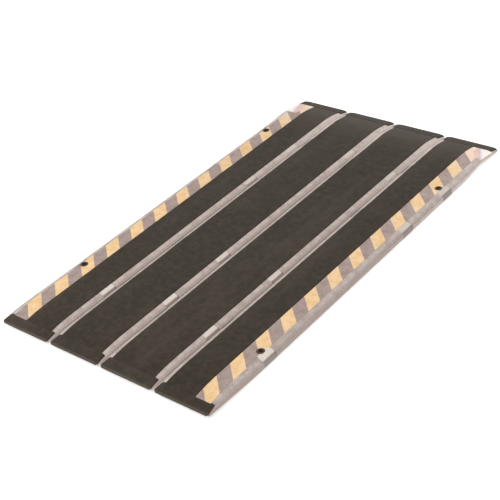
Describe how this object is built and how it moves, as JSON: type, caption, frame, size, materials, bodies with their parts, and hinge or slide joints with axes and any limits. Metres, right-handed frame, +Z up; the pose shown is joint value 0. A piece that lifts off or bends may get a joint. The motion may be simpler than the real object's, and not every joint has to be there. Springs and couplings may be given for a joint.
{
  "type": "folding wheelchair ramp",
  "caption": "Folding wheelchair ramp of long composite panels joined by crossed webbing straps, with anti-slip tops, hazard-striped outer edges and thin bevelled ends.",
  "frame": {"origin": "centre of the underside's bounding rectangle, on the ground plane", "axes": "+Y runs along the ramp from its ground end to its step end, +X across the panels, +Z up"},
  "size_m": [0.756, 1.42, 0.03],
  "materials": {
    "grey_composite": "satin",
    "grey_underside": "matte",
    "foam": "matte",
    "black_tread": "matte",
    "black_rubber": "matte",
    "hazard_tape": "satin",
    "webbing": "matte",
    "black_plastic": "satin"
  },
  "bodies": {
    "panel_2": {"panel_2_core": "foam", "panel_2_deck": "grey_composite", "panel_2_ground_strip": "black_rubber", "panel_2_step_strip": "black_rubber", "panel_2_tray": "grey_underside", "panel_2_tread": "black_tread"},
    "panel_1": {"panel_1_anchor_bush_a1": "black_plastic", "panel_1_anchor_bush_d1": "black_plastic", "panel_1_core": "foam", "panel_1_deck": "grey_composite", "panel_1_edge_strap_a1": "webbing", "panel_1_edge_strap_c": "webbing", "panel_1_edge_strap_d1": "webbing", "panel_1_edge_tape": "hazard_tape", "panel_1_ground_strip": "black_rubber", "panel_1_step_strip": "black_rubber", "panel_1_tray": "grey_underside", "panel_1_tread": "black_tread"},
    "panel_3": {"panel_3_core": "foam", "panel_3_deck": "grey_composite", "panel_3_ground_strip": "black_rubber", "panel_3_step_strip": "black_rubber", "panel_3_tray": "grey_underside", "panel_3_tread": "black_tread"},
    "panel_4": {"panel_4_anchor_bush_a0": "black_plastic", "panel_4_anchor_bush_d0": "black_plastic", "panel_4_core": "foam", "panel_4_deck": "grey_composite", "panel_4_edge_strap_a0": "webbing", "panel_4_edge_strap_c": "webbing", "panel_4_edge_strap_d0": "webbing", "panel_4_edge_tape": "hazard_tape", "panel_4_ground_strip": "black_rubber", "panel_4_step_strip": "black_rubber", "panel_4_tray": "grey_underside", "panel_4_tread": "black_tread"},
    "joint_1_link": {"joint_1_strap_a0": "webbing", "joint_1_strap_a1": "webbing", "joint_1_strap_b": "webbing", "joint_1_strap_c": "webbing", "joint_1_strap_d0": "webbing", "joint_1_strap_d1": "webbing"},
    "joint_2_link": {"joint_2_strap_a0": "webbing", "joint_2_strap_a1": "webbing", "joint_2_strap_b": "webbing", "joint_2_strap_d0": "webbing", "joint_2_strap_d1": "webbing"},
    "joint_3_link": {"joint_3_strap_a0": "webbing", "joint_3_strap_a1": "webbing", "joint_3_strap_b": "webbing", "joint_3_strap_c": "webbing", "joint_3_strap_d0": "webbing", "joint_3_strap_d1": "webbing"}
  },
  "joints": [
    {"name": "fold_1", "type": "hinge", "parent": "panel_2", "child": "joint_1_link", "pos_m": [-0.1803, 0, 0.0205], "axis": [0, 1, 0], "range_deg": [0, 90], "deforming": ["joint_1_strap_a0", "joint_1_strap_a1", "joint_1_strap_b", "joint_1_strap_c", "joint_1_strap_d0", "joint_1_strap_d1"]},
    {"name": "fold_1_second_bend", "type": "hinge", "parent": "joint_1_link", "child": "panel_1", "pos_m": [-0.1997, 0, 0.0205], "axis": [0, 1, 0], "range_deg": [0, 90]},
    {"name": "fold_2", "type": "hinge", "parent": "panel_2", "child": "joint_2_link", "pos_m": [-0.0084, 0, 0.008], "axis": [0, 1, 0], "range_deg": [0, 90], "deforming": ["joint_2_strap_a0", "joint_2_strap_a1", "joint_2_strap_b", "joint_2_strap_d0", "joint_2_strap_d1"]},
    {"name": "fold_2_second_bend", "type": "hinge", "parent": "joint_2_link", "child": "panel_3", "pos_m": [0.0084, 0, 0.008], "axis": [0, 1, 0], "range_deg": [0, 90]},
    {"name": "fold_3", "type": "hinge", "parent": "panel_3", "child": "joint_3_link", "pos_m": [0.1803, 0, 0.0205], "axis": [0, -1, 0], "range_deg": [0, 90], "deforming": ["joint_3_strap_a0", "joint_3_strap_a1", "joint_3_strap_b", "joint_3_strap_c", "joint_3_strap_d0", "joint_3_strap_d1"]},
    {"name": "fold_3_second_bend", "type": "hinge", "parent": "joint_3_link", "child": "panel_4", "pos_m": [0.1997, 0, 0.0205], "axis": [0, -1, 0], "range_deg": [0, 90]}
  ],
  "couplings": [
    {"joint": "fold_1_second_bend", "follows": "fold_1", "ratio": 1},
    {"joint": "fold_2_second_bend", "follows": "fold_2", "ratio": 1},
    {"joint": "fold_3_second_bend", "follows": "fold_3", "ratio": 1}
  ]
}
